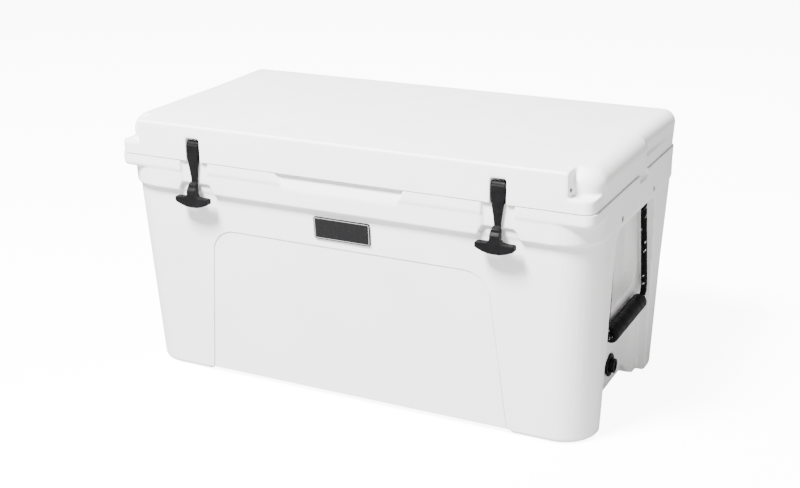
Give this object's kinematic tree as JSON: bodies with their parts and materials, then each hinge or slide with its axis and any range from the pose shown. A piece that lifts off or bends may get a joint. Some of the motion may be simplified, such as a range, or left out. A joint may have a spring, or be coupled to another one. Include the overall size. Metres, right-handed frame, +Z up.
{
  "type": "hard cooler",
  "caption": "Rotomoulded hard cooler: insulated tub and hinged lid, rubber T latches, rope handles with moulded grips in end bays, a screwed drain plug and rubber foot pads.",
  "frame": {"origin": "centre of the overall box, on the ground under the foot pads", "axes": "+Z up, +X towards the end with the drain plug, -Y towards the latches"},
  "size_m": [0.845, 0.47, 0.458],
  "materials": {
    "shell": "white rotomoulded polyethylene, satin",
    "foam": "cream polyurethane foam",
    "white_plug": "pressed-in plug, satin",
    "gasket": "matt",
    "rubber": "black moulded rubber, satin",
    "rope": "black braided polyester with pale flecks",
    "black_plastic": "satin",
    "badge": "blank, with a thin pale border",
    "steel": "stainless, satin"
  },
  "bodies": {
    "cooler_body": {"body_foam": "foam", "body_foam_plug": "white_plug", "body_skin": "shell", "drain_insert": "black_plastic", "foot_pad_front_left": "rubber", "foot_pad_front_right": "rubber", "foot_pad_rear_left": "rubber", "foot_pad_rear_right": "rubber", "handle_screw_front_left": "steel", "handle_screw_front_right": "steel", "handle_screw_rear_left": "steel", "handle_screw_rear_right": "steel", "hinge_pin_left": "steel", "hinge_pin_right": "steel", "name_plate": "badge", "rope_end_front_left": "rope", "rope_end_front_right": "rope", "rope_end_rear_left": "rope", "rope_end_rear_right": "rope"},
    "lid": {"latch_pin_left": "steel", "latch_pin_right": "steel", "lid_corner_screw_left": "steel", "lid_corner_screw_right": "steel", "lid_foam": "foam", "lid_foam_plug": "white_plug", "lid_gasket": "gasket", "lid_skin": "shell"},
    "latch_left": {"latch_left": "rubber"},
    "latch_right": {"latch_right": "rubber"},
    "handle_left": {"handle_rope_left": "rope", "handle_grip_left": "rubber"},
    "handle_right": {"handle_rope_right": "rope", "handle_grip_right": "rubber"},
    "drain_washer": {"drain_seal": "rubber"},
    "drain_plug": {"drain_plug": "black_plastic"}
  },
  "joints": [
    {"name": "lid_hinge", "type": "hinge", "parent": "cooler_body", "child": "lid", "pos_m": [0, 0.2265, 0.397], "axis": [-1, 0, 0], "range_deg": [0, 95]},
    {"name": "latch_left_swing", "type": "hinge", "parent": "lid", "child": "latch_left", "pos_m": [-0.272, -0.2145, 0.425], "axis": [-1, 0, 0], "range_deg": [0, 95]},
    {"name": "latch_right_swing", "type": "hinge", "parent": "lid", "child": "latch_right", "pos_m": [0.272, -0.2145, 0.425], "axis": [-1, 0, 0], "range_deg": [0, 95]},
    {"name": "handle_left_swing", "type": "hinge", "parent": "cooler_body", "child": "handle_left", "pos_m": [-0.4065, 0.007, 0.316], "axis": [0, 1, 0], "range_deg": [0, 90]},
    {"name": "handle_right_swing", "type": "hinge", "parent": "cooler_body", "child": "handle_right", "pos_m": [0.4065, 0.007, 0.316], "axis": [0, -1, 0], "range_deg": [0, 90]},
    {"name": "drain_travel", "type": "slide", "parent": "cooler_body", "child": "drain_washer", "axis": [1, 0, 0], "range_m": [0, 0.008]},
    {"name": "drain_turn", "type": "hinge", "parent": "drain_washer", "child": "drain_plug", "pos_m": [0.3815, 0.007, 0.061], "axis": [1, 0, 0], "range_deg": [0, 720]}
  ],
  "couplings": [
    {"joint": "drain_travel", "follows": "drain_turn", "m_per_rad": 0.00063662}
  ]
}
